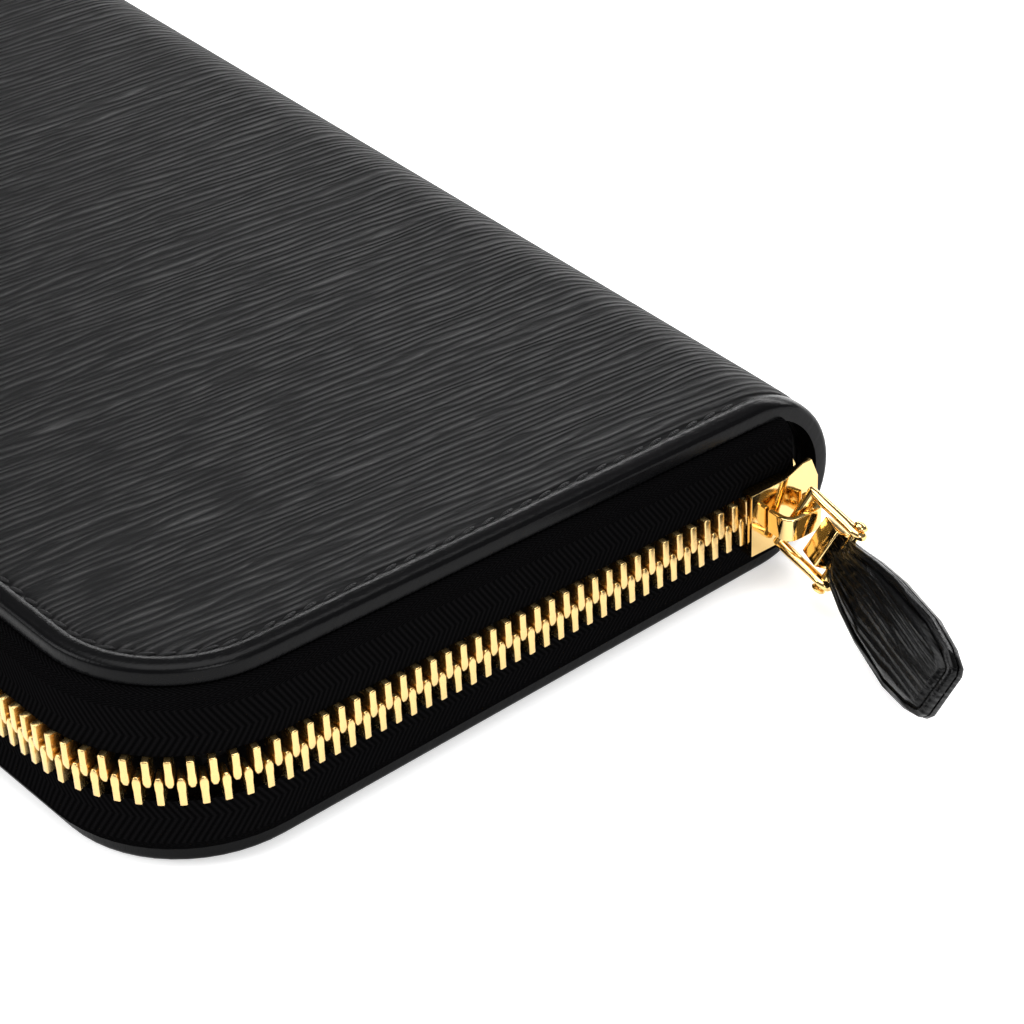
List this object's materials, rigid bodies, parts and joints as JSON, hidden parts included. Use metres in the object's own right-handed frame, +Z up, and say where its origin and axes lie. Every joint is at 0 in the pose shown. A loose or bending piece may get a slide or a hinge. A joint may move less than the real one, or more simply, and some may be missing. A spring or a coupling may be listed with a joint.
{
  "type": "zip around wallet",
  "caption": "Long leather wallet with a metal zip round three sides, card panels, gusseted note compartments and a zipped coin section.",
  "frame": {"origin": "centre of the back cover's outer face, which rests on the table; half way along the length and half way between the opening edge and the outermost line of the spine", "axes": "+X along the wallet towards the end where the closed zip's slider is parked, +Y from the opening edge towards the spine, +Z up out of the back cover"},
  "size_m": [0.2386, 0.108, 0.029],
  "materials": {
    "cover_leather": "embossed irregular ridge grain, satin, smooth glazed edges",
    "panel_leather": "smooth satin",
    "board": "bonded fibre board",
    "lining": "fine grosgrain",
    "zip_tape": "herringbone weave",
    "coil": "nylon coil",
    "gold_metal": "polished gold plate"
  },
  "bodies": {
    "back_half": {"back_cover_leather": "cover_leather", "back_board": "board", "back_lining": "lining", "back_card_panel_1": "panel_leather", "back_card_panel_2": "panel_leather", "back_card_panel_3": "panel_leather", "zip_tape_lower": "zip_tape", "zip_teeth_lower": "gold_metal", "zip_stop_lower": "gold_metal", "back_gusset_right": "lining", "back_gusset_left": "lining"},
    "coin_section": {"coin_back_wall": "lining", "coin_front_wall": "lining", "coin_side_strip": "lining", "coin_tape_back": "zip_tape", "coin_tape_front": "zip_tape", "coin_coil_back": "coil", "coin_coil_front": "coil", "coin_stop_left": "gold_metal", "coin_stop_right": "gold_metal"},
    "front_half": {"front_cover_leather": "cover_leather", "front_board": "board", "front_lining": "lining", "front_card_panel_1": "panel_leather", "front_card_panel_2": "panel_leather", "front_card_panel_3": "panel_leather", "zip_tape_upper": "zip_tape", "zip_teeth_upper": "gold_metal", "zip_stop_upper": "gold_metal", "front_gusset_right": "lining", "front_gusset_left": "lining"},
    "zip_slider": {"slider_body": "gold_metal", "slider_crown": "gold_metal"},
    "pull_stirrup": {"pull_stirrup": "gold_metal", "pull_pin": "gold_metal"},
    "pull_tab": {"pull_ferrule": "gold_metal", "pull_tab_front": "cover_leather", "pull_tab_back": "cover_leather"},
    "coin_slider": {"coin_slider_body": "gold_metal", "coin_slider_crown": "gold_metal"},
    "coin_pull": {"coin_pull_tag": "gold_metal"}
  },
  "joints": [
    {"name": "coin_section_open", "type": "hinge", "parent": "back_half", "child": "coin_section", "pos_m": [0, 0.0525, 0.01175], "axis": [-1, 0, 0], "range_deg": [0, 30], "deforming": ["back_gusset_right", "back_gusset_left"]},
    {"name": "front_half_open", "type": "hinge", "parent": "coin_section", "child": "front_half", "pos_m": [0, 0.0525, 0.01175], "axis": [-1, 0, 0], "range_deg": [0, 30], "deforming": ["front_gusset_right", "front_gusset_left"]},
    {"name": "zip_slide", "type": "slide", "parent": "back_half", "child": "zip_slider", "axis": [0, -0.9993, 0.038], "range_m": [0, 0.07], "deforming": ["zip_teeth_lower", "zip_teeth_upper"]},
    {"name": "pull_swing", "type": "hinge", "parent": "zip_slider", "child": "pull_stirrup", "pos_m": [0.1036, 0.041, 0.01094], "axis": [0, 0, 1], "range_deg": [-5, 35]},
    {"name": "tab_swing", "type": "hinge", "parent": "pull_stirrup", "child": "pull_tab", "pos_m": [0.11115, 0.04126, 0.00863], "axis": [0.2325, 0.5235, 0.8197], "range_deg": [-25, 0]},
    {"name": "coin_zip_slide", "type": "slide", "parent": "coin_section", "child": "coin_slider", "axis": [-1, 0, 0], "range_m": [0, 0.147], "deforming": ["coin_coil_back", "coin_coil_front"]},
    {"name": "coin_pull_flip", "type": "hinge", "parent": "coin_slider", "child": "coin_pull", "pos_m": [0.0752, -0.0411, 0.01413], "axis": [0, 0, 1], "range_deg": [0, 120]}
  ],
  "couplings": [
    {"joint": "coin_section_open", "follows": "front_half_open", "ratio": 1}
  ]
}
